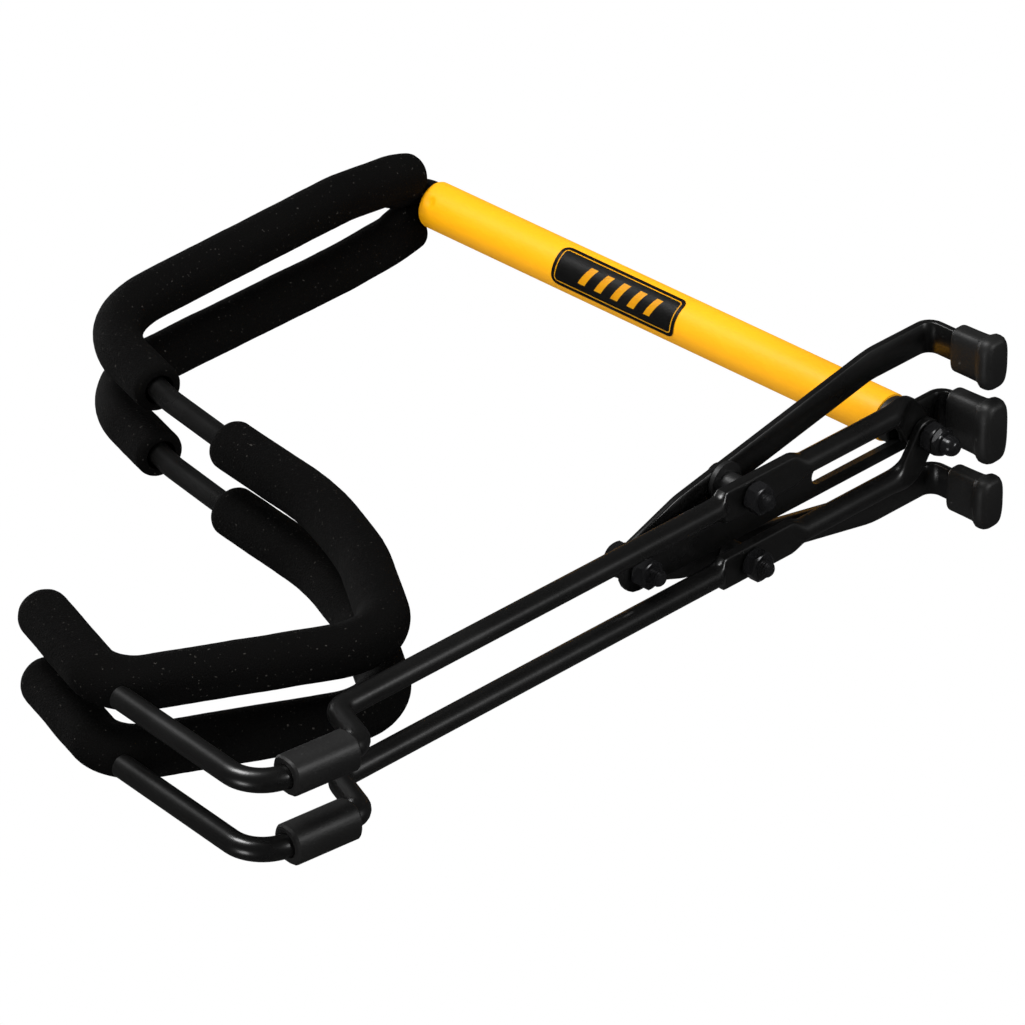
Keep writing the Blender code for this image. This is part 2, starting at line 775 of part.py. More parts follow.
def make_cross_pivot(prefix, side, leg_z, flange, materials):
    """Lower half of a cross pivot in the frame and its head on the leg above."""
    steel = materials["black_steel"]
    centre = (CROSS_X, side * CROSS_Y)
    zone_low = MEMBER_Z - ZONE_HEIGHT / 2.0
    zone_high = MEMBER_Z + ZONE_HEIGHT / 2.0
    leg_low = leg_z - BAR_T / 2.0
    leg_high = leg_z + BAR_T / 2.0
    make_bored_hex(prefix + "_cross_nut", centre, 5.7, zone_low - GAP - 5.4, zone_low - GAP, HOLE_R, steel, 0.35)
    shank = [(BOLT_R - 0.6, 8.8), (BOLT_R, 9.4), (BOLT_R, leg_low - GAP)]
    add_object(prefix + "_cross_bolt", ring_solid(shank, 16, centre), steel)
    spacer_low = zone_high + GAP
    spacer_high = leg_low - GAP
    spacer_r = 4.3
    levels = [(spacer_r, spacer_low), (spacer_r, spacer_high)]
    if flange:
        levels = [(spacer_r, spacer_low), (spacer_r, spacer_high - 1.8), (7.4, spacer_high - 1.8), (7.4, spacer_high)]
    bore = [(HOLE_R, spacer_low), (HOLE_R, spacer_high)]
    add_object(prefix + "_cross_spacer", ring_solid(levels, 24, centre, bore), materials["black_plastic"])
    make_bolt(prefix + "_cross_head", centre, leg_high + GAP, leg_high + GAP + 2.2, leg_low + 0.05, steel, 20, 5.4)


# ---------------------------------------------------------------- build

def make_materials():
    return {
        "yellow_paint": make_material("yellow_paint", (0.86, 0.42, 0.0), 0.38, 0.0),
        "black_paint": make_material("black_paint", (0.012, 0.012, 0.013), 0.35, 0.0),
        "black_foam": make_material("black_foam", (0.010, 0.010, 0.011), 0.92, 0.0),
        "black_rubber": make_material("black_rubber", (0.014, 0.014, 0.015), 0.62, 0.0),
        "black_plastic": make_material("black_plastic", (0.016, 0.016, 0.017), 0.5, 0.0),
        "black_steel": make_material("black_steel", (0.03, 0.03, 0.032), 0.32, 0.8),
        "label_print": make_material("label_print", (0.02, 0.02, 0.02), 0.4, 0.0),
    }


def stand_up():
    """Lean the stand onto its feet, put the origin under its middle, and flatten the feet on the floor."""
    lean = Matrix.Rotation(math.radians(-LEAN), 4, "Y")
    place = Matrix.Translation(mm(-ORIGIN_X, 0.0, -ORIGIN_Z)) @ lean
    for item in bpy.data.objects:
        item.data.transform(place)
    feet = ["centre_foot_cap"]
    for prefix in ("left", "right"):
        feet += [prefix + "_rear_foot_cap", prefix + "_front_foot"]
    under = [(-250.0, -60.0), (250.0, -60.0), (250.0, 60.0), (-250.0, 60.0)]
    for name in feet:
        floor = add_object("floor", prism(under, -20.0, 0.0), None)
        boolean(bpy.data.objects[name], floor, "DIFFERENCE")


def shade_smooth():
    """Smooth the round surfaces and keep the real edges."""
    for item in bpy.data.objects:
        item.data.shade_smooth()
        item.data.set_sharp_from_angle(angle=math.radians(SMOOTH_ANGLE))


def hang(joint, spot, names):
    """Parent a moving body's pieces to an empty on its joint's axis, leaving them in place."""
    lean = Matrix.Rotation(math.radians(-LEAN), 4, "Y")
    place = Matrix.Translation(mm(-ORIGIN_X, 0.0, -ORIGIN_Z)) @ lean @ Matrix.Translation(mm(*spot))
    pivot = bpy.data.objects.new(joint, None)
    bpy.context.collection.objects.link(pivot)
    pivot.matrix_world = place
    for name in names:
        item = bpy.data.objects[name]
        item.parent = pivot
        item.matrix_parent_inverse = place.inverted()


def hang_bodies():
    """Give every moving body its joint's empty."""
    for prefix in ("left", "right"):
        turning = ("_cradle_rod", "_base_rod", "_upper_pad", "_lower_pad", "_front_foot",
                   "_cross_bolt", "_cross_nut", "_cross_spacer")
        hang(prefix + "_fold", (0.0, 0.0, MEMBER_Z), [prefix + part for part in turning])
        swinging = ("_rear_leg", "_rear_foot_cap", "_cross_head")
        hang(prefix + "_leg_swing", (FRONT_PIVOT_X, 0.0, RIGHT_LEG_Z), [prefix + part for part in swinging])
    sliding = ("centre_leg", "centre_foot_cap", "front_bolt", "front_nut", "front_washer")
    hang("leg_slide", (0.0, 0.0, CENTRE_Z), sliding)


def build():
    clear_scene()
    materials = make_materials()
    paint = materials["black_paint"]
    make_post(materials)
    for prefix, side, eye_z, leg_z in (("left", 1, LEFT_EYE_Z, LEFT_LEG_Z), ("right", -1, RIGHT_EYE_Z, RIGHT_LEG_Z)):
        make_cradle_rod(prefix + "_cradle_rod", side, paint)
        make_base_rod(prefix + "_base_rod", side, eye_z, paint)
        make_upper_pad(prefix + "_upper_pad", side, materials["black_foam"])
        make_lower_pad(prefix + "_lower_pad", side, materials["black_foam"])
        make_front_foot(prefix + "_front_foot", side, materials["black_rubber"])
        make_rear_leg(prefix + "_rear_leg", side, leg_z, paint)
        centre = (FOOT_X, side * LEG_FOOT_Y)
        make_foot_cap(prefix + "_rear_foot_cap", centre, (9.0, 17.0), (12.0, 19.6), 19.0, LEG_WIDTH,
                      materials["black_rubber"])
        make_cross_pivot(prefix, side, leg_z, side > 0, materials)
    make_centre_leg(paint)
    make_foot_cap("centre_foot_cap", (CENTRE_FOOT_X, 0.0), (9.4, 21.6), (12.6, 24.0), 21.0, CENTRE_WIDTH,
                  materials["black_rubber"])
    make_main_hinge(materials)
    make_front_pivot(materials)
    stand_up()
    shade_smooth()
    hang_bodies()


build()
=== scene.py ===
"""Folding guitar stand, folded: bent rod cradle in black foam, yellow post, scissor base.

Design lengths are millimetres in the post's own frame: z up the post from its foot, x towards
the cradle, y to the stand's left. post_space() turns them into the model's frame.
"""

import json
import math

import bmesh
import bpy
from mathutils import Matrix, Vector, noise


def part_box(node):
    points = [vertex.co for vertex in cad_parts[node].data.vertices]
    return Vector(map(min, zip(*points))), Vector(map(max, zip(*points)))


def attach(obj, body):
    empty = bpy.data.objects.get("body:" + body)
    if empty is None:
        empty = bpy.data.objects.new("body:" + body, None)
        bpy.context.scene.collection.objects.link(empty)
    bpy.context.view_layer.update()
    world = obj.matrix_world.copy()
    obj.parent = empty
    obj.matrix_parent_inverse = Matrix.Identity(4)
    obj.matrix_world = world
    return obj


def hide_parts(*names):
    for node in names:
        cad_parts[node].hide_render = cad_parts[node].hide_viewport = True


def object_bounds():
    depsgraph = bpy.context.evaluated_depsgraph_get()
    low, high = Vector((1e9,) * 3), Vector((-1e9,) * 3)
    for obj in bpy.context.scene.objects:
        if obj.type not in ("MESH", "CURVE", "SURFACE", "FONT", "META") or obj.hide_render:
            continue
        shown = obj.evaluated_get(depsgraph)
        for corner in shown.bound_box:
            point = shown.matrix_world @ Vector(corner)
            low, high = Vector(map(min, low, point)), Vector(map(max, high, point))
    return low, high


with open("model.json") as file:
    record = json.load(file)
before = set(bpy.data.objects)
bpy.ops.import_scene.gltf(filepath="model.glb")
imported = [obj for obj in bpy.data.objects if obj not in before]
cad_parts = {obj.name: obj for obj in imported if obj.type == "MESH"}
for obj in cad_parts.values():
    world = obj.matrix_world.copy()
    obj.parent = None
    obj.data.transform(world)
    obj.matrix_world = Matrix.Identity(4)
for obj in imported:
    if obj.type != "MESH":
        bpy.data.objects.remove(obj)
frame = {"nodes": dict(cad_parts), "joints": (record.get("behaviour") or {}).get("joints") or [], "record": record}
CAD_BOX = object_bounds()

MM = 0.001
HINGE_Z = 20.0

# Rods
ROD_R = 4.1
PIN_R = 2.7
PIN_Y = 4.6
PIN_BOTTOM = 237.0
ARM_Z = 264.9
FRAME_Y = 13.0
CRADLE_START = [
    ((0.0, PIN_Y, 256.9), 0.0),
    ((0.0, PIN_Y, ARM_Z), 7.2),
    ((12.6, PIN_Y, ARM_Z), 20.0),
    ((31.0, 14.3, 265.4), 24.0),
]
CRADLE_BENDS = [
    (162.8, 262.0, 40.0),
    (180.6, 204.0, 40.0),
    (187.4, 165.0, 60.0),
    (193.9, 116.0, 90.0),
    (208.0, 82.0, 90.0),
    (239.0, 36.6, 22.0),
    (323.4, 81.8, 16.0),
]
CRADLE_TIP = (306.2, 132.0)

# Base rods
MEMBER_Z = 20.0
EYE_BEND = (9.0, 11.0)
JOGGLE_TOP_X = 281.2
JOGGLE_LOW = (289.4, -0.4)
TOE = (332.3, 4.4)
STRUT_TOP = (324.4, 75.2)
ZONE = (66.0, 101.0)
ZONE_SIZE = (12.4, 4.6)
EYE_SIZE = (12.0, 3.0)
EYE_HEIGHTS = {"left": 22.1, "right": 18.8}

# Foam
UPPER_FOAM_R = 8.75
LOWER_FOAM_R = 9.05
FOAM_BORE_R = 4.5
UPPER_FOAM_START = (1.6, 9.0, 264.8)
UPPER_FOAM_SPREAD = (13.0, 12.2, 265.2)
UPPER_FOAM_END_Z = 212.0
LOWER_FOAM_START_Z = 168.4
MIDDLE_GAP = 0.3

# Rear caps, from the floor up: shares of the cap's height, width and depth, and a bow in millimetres
REAR_CAP_LEVELS = [
    (0.0, 0.62, 0.8, 0.0),
    (0.012, 0.72, 0.87, 0.2),
    (0.045, 0.84, 0.94, 0.4),
    (0.1, 0.94, 0.985, 0.35),
    (0.17, 0.98, 1.0, 0.15),
    (0.24, 0.97, 0.995, 0.05),
    (0.29, 0.9, 0.95, 0.0),
    (0.33, 0.8, 0.9, 0.0),
    (0.4, 0.765, 0.875, 0.0),
    (0.6, 0.75, 0.865, 0.0),
    (0.93, 0.74, 0.86, 0.0),
    (0.965, 0.72, 0.85, 0.0),
    (0.99, 0.68, 0.83, 0.0),
    (1.0, 0.62, 0.8, 0.0),
]

# Fasteners
NUT_FLATS = 9.9
DOME_NUT_FLATS = 9.7
THREAD_R = 2.95
HEAD_R = 5.4
HEAD_HEIGHT = 2.2

# Post and label
POST_R = 8.8
POST_WALL = 1.2
POST_Z = (35.0, 256.5)
DIMPLE = (37.0, 252.6, 3.0, 0.7)
LABEL_R = 9.0
LABEL_TURN = 35.0
LABEL_HALF = 51.0
LABEL_Z = (129.5, 189.4)
LABEL_CORNER = 3.2

BODY = {node: body for body, nodes in frame["record"]["behaviour"]["bodies"].items() for node in nodes}


def post_space():
    """Matrix from the post's own millimetres to the model's metres."""
    fold = [joint for joint in frame["joints"] if joint["name"] == "left_fold"][0]
    up = Vector(fold["axis"]).normalized()
    left = Vector((0.0, 1.0, 0.0))
    ahead = left.cross(up).normalized()
    foot = Vector(fold["pos_m"]) - up * (HINGE_Z * MM)
    turn = Matrix((ahead, left, up)).transposed().to_4x4()
    return Matrix.Translation(foot) @ turn @ Matrix.Scale(MM, 4)


SPACE = post_space()


# ---------------------------------------------------------------- making pieces

def finish_piece(name, body, material, *nodes):
    """Turn a bmesh in post millimetres into a piece that stands for CAD nodes."""
    bmesh.ops.transform(body, matrix=SPACE, verts=body.verts)
    bmesh.ops.recalc_face_normals(body, faces=body.faces)
    mesh = bpy.data.meshes.new(name)
    body.to_mesh(mesh)
    body.free()
    piece = bpy.data.objects.new(name, mesh)
    bpy.context.scene.collection.objects.link(piece)
    mesh.materials.append(material)
    settle(piece, nodes[0], nodes)
    return piece


def settle(piece, node, nodes):
    """Ride with and stand in for the CAD node."""
    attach(piece, BODY[node])
    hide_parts(*nodes)


def only(piece):
    """Select one piece and nothing else."""
    bpy.ops.object.select_all(action="DESELECT")
    piece.select_set(True)
    bpy.context.view_layer.objects.active = piece


def soften(piece, degrees=38.0):
    only(piece)
    bpy.ops.object.shade_smooth_by_angle(angle=math.radians(degrees))


def refined(node, material, degrees=38.0, bevel=0.0):
    """A merged, smooth-shaded copy of a CAD node, its hard edges eased."""
    source = frame["nodes"][node]
    piece = bpy.data.objects.new(node + "_shown", source.data.copy())
    bpy.context.scene.collection.objects.link(piece)
    piece.data.materials.clear()
    piece.data.materials.append(material)
    only(piece)
    bpy.ops.object.mode_set(mode="EDIT")
    bpy.ops.mesh.select_all(action="SELECT")
    bpy.ops.mesh.remove_doubles(threshold=0.000005)
    bpy.ops.mesh.dissolve_limited(angle_limit=math.radians(0.6))
    bpy.ops.object.mode_set(mode="OBJECT")
    if bevel > 0.0:
        easing = piece.modifiers.new("easing", "BEVEL")
        easing.width = bevel * MM
        easing.segments = 3
        easing.limit_method = "ANGLE"
        easing.angle_limit = math.radians(50.0)
        bpy.ops.object.modifier_apply(modifier=easing.name)
    soften(piece, degrees)
    settle(piece, node, (node,))
    return piece


def filleted(corners, step=5.0):
    """Points along (point, radius) corners, every bend rounded."""
    points = [Vector(corners[0][0])]
    for (back, _), (corner, radius), (ahead, _) in zip(corners, corners[1:], corners[2:]):
        corner = Vector(corner)
        before = (Vector(back) - corner).normalized()
        after = (Vector(ahead) - corner).normalized()
        turn = math.pi - before.angle(after)
        reach = radius * math.tan(turn / 2.0)
        centre = corner + (before + after).normalized() * (radius / math.cos(turn / 2.0))
        start = corner + before * reach - centre
        axis = before.cross(after).normalized()
        count = max(3, int(math.ceil(math.degrees(turn) / step)))
        for part in range(count + 1):
            points.append(centre + Matrix.Rotation(-turn * part / count, 3, axis) @ start)
    points.append(Vector(corners[-1][0]))
    return points


def spaced(points, gap):
    """The same path with evenly spaced points."""
    lengths = [(two - one).length for one, two in zip(points, points[1:])]
    count = max(2, int(sum(lengths) / gap))
    step = sum(lengths) / count
    result = [points[0].copy()]
    walked = 0.0
    target = step
    for one, two, length in zip(points, points[1:], lengths):
        while target <= walked + length and len(result) < count:
            result.append(one.lerp(two, (target - walked) / length))
            target += step
        walked += length
    result.append(points[-1].copy())
    return result


def tangents(points):
    result = []
    for index in range(len(points)):
        ahead = points[min(index + 1, len(points) - 1)]
        behind = points[max(index - 1, 0)]
        result.append((ahead - behind).normalized())
    return result


def frames(points, side):
    """Side and up at every point, carried along without twist."""
    result = []
    side = Vector(side)
    for tangent in tangents(points):
        side = (side - tangent * side.dot(tangent)).normalized()
        result.append((side.copy(), tangent.cross(side)))
    return result


def ring(body, spot, across, up, outline):
    return [body.verts.new(spot + across * width + up * height) for width, height in outline]


def join_rings(body, one, two):
    count = len(one)
    for index in range(count):
        after = (index + 1) % count
        body.faces.new((one[index], one[after], two[after], two[index]))


def circle(radius, sides):
    angles = [2.0 * math.pi * index / sides for index in range(sides)]
    return [(radius * math.cos(angle), radius * math.sin(angle)) for angle in angles]


def pressed(width, height, square, sides, lift=0.0):
    """Outline of a round bar pressed flat: square is 1 for round, less for flatter."""
    outline = []
    for index in range(sides):
        angle = 2.0 * math.pi * (index + 0.5) / sides
        cosine = math.cos(angle)
        sine = math.sin(angle)
        across = math.copysign(abs(cosine) ** square, cosine) * width / 2.0
        rise = math.copysign(abs(sine) ** square, sine) * height / 2.0
        outline.append((across, rise + lift))
    return outline


def start_face(spot, ahead, radius, sides):
    """A round face square to a direction, ready to be extruded in edit mode."""
    bpy.ops.object.select_all(action="DESELECT")
    turn = Vector(ahead).to_track_quat("Z", "Y").to_euler()
    bpy.ops.mesh.primitive_circle_add(
        vertices=sides, radius=radius, fill_type="NGON", location=spot, rotation=turn
    )
    piece = bpy.context.active_object
    bpy.ops.object.transform_apply(location=True, rotation=True, scale=True)
    bpy.ops.object.mode_set(mode="EDIT")
    bpy.ops.mesh.select_all(action="SELECT")
    return piece


def extrude(step):
    bpy.ops.mesh.extrude_region_move(TRANSFORM_OT_translate={"value": tuple(step)})


def widen(ratio, spot):
    bpy.ops.transform.resize(value=ratio, center_override=tuple(spot))


def turned(levels, sides, centre):
    """A closed turned solid from (radius, z) levels, extruded and widened level by level."""
    spot = Vector((centre[0], centre[1], levels[0][1]))
    piece = start_face(spot, (0.0, 0.0, 1.0), levels[0][0], sides)
    for (radius, z), (next_radius, next_z) in zip(levels, levels[1:]):
        extrude((0.0, 0.0, next_z - z))
        spot.z = next_z
        ratio = next_radius / radius
        widen((ratio, ratio, 1.0), spot)
    bpy.ops.object.mode_set(mode="OBJECT")
    return piece


def modelled(name, piece, material, node, degrees=25.0):
    """Bring a piece modelled in post millimetres to its place and let it stand for its CAD node."""
    piece.name = name
    piece.data.transform(SPACE)
    piece.data.materials.append(material)
    only(piece)
    bpy.ops.object.mode_set(mode="EDIT")
    bpy.ops.mesh.select_all(action="SELECT")
    bpy.ops.mesh.normals_make_consistent(inside=False)
    bpy.ops.object.mode_set(mode="OBJECT")
    soften(piece, degrees)
    settle(piece, node, (node,))
    return piece


# ---------------------------------------------------------------- rods and foam

def mirrored(points, side):
    return [Vector((spot.x, spot.y * side, spot.z)) for spot in points]


def cradle_line():
    corners = list(CRADLE_START)
    corners += [((x, FRAME_Y, z), radius) for x, z, radius in CRADLE_BENDS]
    corners.append(((CRADLE_TIP[0], FRAME_Y, CRADLE_TIP[1]), 0.0))
    return filleted(corners)


def swept_body(points, outlines, side):
    body = bmesh.new()
    rings = []
    for (across, up), spot, outline in zip(frames(points, side), points, outlines):
        rings.append(ring(body, spot, across, up, outline))
    for one, two in zip(rings, rings[1:]):
        join_rings(body, one, two)
    body.faces.new(rings[0][::-1])
    body.faces.new(rings[-1])
    return body


def make_cradle_rod(prefix, side, material):
    """Bent round rod, extruded along its runs and spun round its bends, on a thinner pin inside the post."""
    corners = list(CRADLE_START)
    corners += [((x, FRAME_Y, z), radius) for x, z, radius in CRADLE_BENDS]
    corners.append(((CRADLE_TIP[0], FRAME_Y, CRADLE_TIP[1]), 0.0))
    corners = [(Vector((x, y * side, z)), radius) for (x, y, z), radius in corners]
    spot = corners[0][0].copy()
    piece = start_face((spot.x, spot.y, PIN_BOTTOM), (0.0, 0.0, 1.0), PIN_R, 28)
    extrude((0.0, 0.0, spot.z - PIN_BOTTOM))
    extrude((0.0, 0.0, 0.0))
    widen((ROD_R / PIN_R, ROD_R / PIN_R, 1.0), spot)
    for (back, _), (corner, radius), (onward, _) in zip(corners, corners[1:], corners[2:]):
        before = (back - corner).normalized()
        after = (onward - corner).normalized()
        turn = math.pi - before.angle(after)
        reach = radius * math.tan(turn / 2.0)
        centre = corner + (before + after).normalized() * (radius / math.cos(turn / 2.0))
        run = corner + before * reach - spot
        if run.length > 0.05:
            extrude(run)
        count = max(3, int(math.ceil(math.degrees(turn) / 5.0)))
        bpy.ops.mesh.spin(steps=count, angle=turn, center=centre, axis=before.cross(after).normalized())
        spot = corner + after * reach
    extrude(corners[-1][0] - spot)
    bpy.ops.object.mode_set(mode="OBJECT")
    modelled(prefix + "_rod_smooth", piece, material, prefix + "_cradle_rod", 38.0)


def blend(low, high, value):
    share = min(1.0, max(0.0, (value - low) / (high - low)))
    return share * share * (3.0 - 2.0 * share)


def base_outline(spot, lift):
    """Section of a base rod: flat eye, round bar, flat pivot zone, round bar."""
    sides = 32
    if spot.x > ZONE[1] + 4.0 or spot.z < MEMBER_Z - 0.5:
        return pressed(2 * ROD_R, 2 * ROD_R, 1.0, sides)
    zone = blend(ZONE[0] - 6.0, ZONE[0] + 1.5, spot.x) * (1.0 - blend(ZONE[1] - 0.5, ZONE[1] + 2.0, spot.x))
    if zone > 0.0:
        width = 2 * ROD_R + (ZONE_SIZE[0] - 2 * ROD_R) * zone
        height = 2 * ROD_R + (ZONE_SIZE[1] - 2 * ROD_R) * zone
        return pressed(width, height, 1.0 - 0.68 * zone, sides)
    eye = 1.0 - blend(6.0, 17.0, spot.x)
    width = 2 * ROD_R + (EYE_SIZE[0] - 2 * ROD_R) * eye
    height = 2 * ROD_R + (EYE_SIZE[1] - 2 * ROD_R) * eye
    return pressed(width, height, 1.0 - 0.7 * eye, sides, lift * eye)


def make_base_rod(prefix, side, material):
    y = side * FRAME_Y
    corners = [
        ((0.0, 0.0, MEMBER_Z), 0.0),
        ((EYE_BEND[0], y, MEMBER_Z), EYE_BEND[1]),
        ((JOGGLE_TOP_X, y, MEMBER_Z), 6.3),
        ((JOGGLE_LOW[0], y, JOGGLE_LOW[1]), 6.3),
        ((TOE[0], y, TOE[1]), 13.0),
        ((STRUT_TOP[0], y, STRUT_TOP[1]), 0.0),
    ]
    points = spaced(filleted(corners, 4.0), 1.4)
    lift = EYE_HEIGHTS[prefix] - MEMBER_Z
    ahead = (points[1] - points[0]).normalized()
    across = Vector((0.0, 0.0, 1.0)).cross(ahead)
    outlines = [base_outline(spot, lift) for spot in points]
    tip = []
    radius = EYE_SIZE[0] / 2.0
    for degrees in (84.0, 70.0, 55.0, 40.0, 25.0, 12.0):
        angle = math.radians(degrees)
        tip.append(points[0] - ahead * (radius * math.sin(angle)))
        outlines.insert(len(tip) - 1, pressed(EYE_SIZE[0] * math.cos(angle), EYE_SIZE[1], 0.3, 32, lift))
    body = swept_body(tip + points, outlines, across)
    piece = finish_piece(prefix + "_base_smooth", body, material, prefix + "_base_rod")
    soften(piece, 32.0)


def nearest(points, spot):
    """Closest point of a path to a spot."""
    best = points[0]
    for one, two in zip(points, points[1:]):
        along = two - one
        share = min(1.0, max(0.0, (spot - one).dot(along) / max(along.length_squared, 1e-9)))
        candidate = one + along * share
        if (candidate - spot).length < (best - spot).length:
            best = candidate
    return best


def foam_radius(radius, along, length, start_round, end_round):
    """Radius of the foam's skin: full along the sleeve, rounded over at its ends."""
    cut = 0.0
    for depth, rounding in ((along, start_round), (length - along, end_round)):
        if depth < rounding:
            cut = max(cut, rounding - math.sqrt(max(0.0, rounding ** 2 - (rounding - depth) ** 2)))
    return radius - cut


def foam_body(path, rod, radius, start_round, end_round, closed_tip, sides=56):
    """Foam sleeve: rounded skin outside, bore round the rod inside."""
    body = bmesh.new()
    points = spaced(path, 1.6)
    length = sum((two - one).length for one, two in zip(points, points[1:]))
    step = length / (len(points) - 1)
    outer = []
    inner = []
    ends = []
    for share in (0.004, 0.03, 0.09, 0.18, 0.3, 0.45, 0.65, 0.85):
        ends.append(share)
    stations = [start_round * share for share in ends]
    evenly = [step * index for index in range(len(points))]
    stations += [along for along in evenly if start_round < along < length - end_round]
    stations += [length - end_round * share for share in reversed(ends)]
    spots = []
    for along in stations:
        index = min(len(points) - 2, int(along / step))
        spots.append(points[index].lerp(points[index + 1], along / step - index))
    for (across, up), spot, along in zip(frames(spots, (0.0, 1.0, 0.0)), spots, stations):
        skin = foam_radius(radius, along, length, start_round, end_round)
        outer.append(ring(body, spot, across, up, circle(skin, sides)))
        on_rod = nearest(rod, spot)
        flare = 1.0 + 0.22 * (1.0 - blend(0.0, 12.0, min(along, length - along)))
        if closed_tip and length - along < 5.0:
            continue
        inner.append(ring(body, on_rod, across, up, circle(FOAM_BORE_R * flare, sides)))
    for rings in (outer, inner):
        for one, two in zip(rings, rings[1:]):
            join_rings(body, one, two)
    join_rings(body, outer[0], inner[0])
    if closed_tip:
        body.faces.new(outer[-1])
        body.faces.new(inner[-1])
    else:
        join_rings(body, outer[-1], inner[-1])
    return body


def skin_noise(body, amount):
    """Slight unevenness of hand-fitted foam."""
    body.normal_update()
    for vert in body.verts:
        broad = noise.noise(vert.co * 0.09)
        fine = noise.noise(vert.co * 0.45 + Vector((7.0, 3.0, 1.0)))
        vert.co += vert.normal * (amount * (broad + 0.35 * fine))


def press_against(body, side):
    """Flatten the foam on the middle plane and on the post's rim."""
    for vert in body.verts:
        if vert.co.y * side < MIDDLE_GAP:
            vert.co.y = side * MIDDLE_GAP
        beside = math.hypot(vert.co.x, vert.co.y)
        if beside < POST_R + MIDDLE_GAP and vert.co.z < POST_Z[1] + MIDDLE_GAP:
            vert.co.z = POST_Z[1] + MIDDLE_GAP


def cut_at(points, z, after_x):
    """The path up to where it falls to height z beyond after_x, and the rest."""
    for index, (one, two) in enumerate(zip(points, points[1:])):
        if one.x > after_x and (one.z - z) * (two.z - z) <= 0.0:
            spot = one.lerp(two, (one.z - z) / (one.z - two.z))
            return points[:index + 1] + [spot], [spot] + points[index + 1:]
    return points, []


def make_upper_foam(prefix, side, material):
    corners = [(UPPER_FOAM_START, 0.0), (UPPER_FOAM_SPREAD, 30.0), ((40.0, 14.3, 265.4), 60.0)]
    corners += [((x, FRAME_Y, z), radius) for x, z, radius in CRADLE_BENDS[:3]]
    path, _ = cut_at(filleted(corners), UPPER_FOAM_END_Z, 150.0)
    rod = mirrored(cradle_line(), side)
    body = foam_body(mirrored(path, side), rod, UPPER_FOAM_R, 5.0, 2.2, False)
    skin_noise(body, 0.16)
    press_against(body, side)
    piece = finish_piece(prefix + "_arm_foam", body, material, prefix + "_upper_pad")
    soften(piece, 50.0)


def make_lower_foam(prefix, side, material):
    rod = mirrored(cradle_line(), side)
    _, path = cut_at(rod, LOWER_FOAM_START_Z, 150.0)
    ahead = (path[-1] - path[-2]).normalized()
    path = path[:-1] + [path[-1] + ahead * 4.0]
    body = foam_body(path, rod, LOWER_FOAM_R, 2.2, 6.0, True)
    skin_noise(body, 0.16)
    piece = finish_piece(prefix + "_rest_foam", body, material, prefix + "_lower_pad")
    soften(piece, 50.0)


# ---------------------------------------------------------------- post and label

def make_post(material):
    """Yellow tube with rolled rims and the swage dimple near its top."""
    body = bmesh.new()
    low, high = POST_Z
    inner_r = POST_R - POST_WALL
    outer_levels = [(POST_R - 0.5, low), (POST_R - 0.12, low + 0.12), (POST_R, low + 0.5)]
    outer_levels += [(POST_R, low + 0.5 + (high - low - 13.0) * part / 20.0) for part in range(1, 21)]
    outer_levels += [(POST_R, high - 12.0 + 0.5 * part) for part in range(24)]
    outer_levels += [(POST_R - 0.12, high - 0.12), (POST_R - 0.5, high)]
    profile = outer_levels + [(inner_r, high), (inner_r, low)]
    sides = 96
    rings = []
    for radius, z in profile:
        rings.append(ring(body, Vector((0.0, 0.0, z)), Vector((1.0, 0.0, 0.0)), Vector((0.0, 1.0, 0.0)),
                          circle(radius, sides)))
    for one, two in zip(rings, rings[1:] + rings[:1]):
        join_rings(body, one, two)
    angle, z, reach, depth = DIMPLE
    heart = Vector((POST_R * math.cos(math.radians(angle)), POST_R * math.sin(math.radians(angle)), z))
    for vert in body.verts:
        away = (vert.co - heart).length
        if away < reach and math.hypot(vert.co.x, vert.co.y) > POST_R - 0.2:
            dip = depth * (1.0 - (away / reach) ** 2) ** 2
            flat = Vector((vert.co.x, vert.co.y, 0.0)).normalized()
            vert.co -= flat * dip
    piece = finish_piece("post_smooth", body, material, "post_tube")
    soften(piece, 50.0)


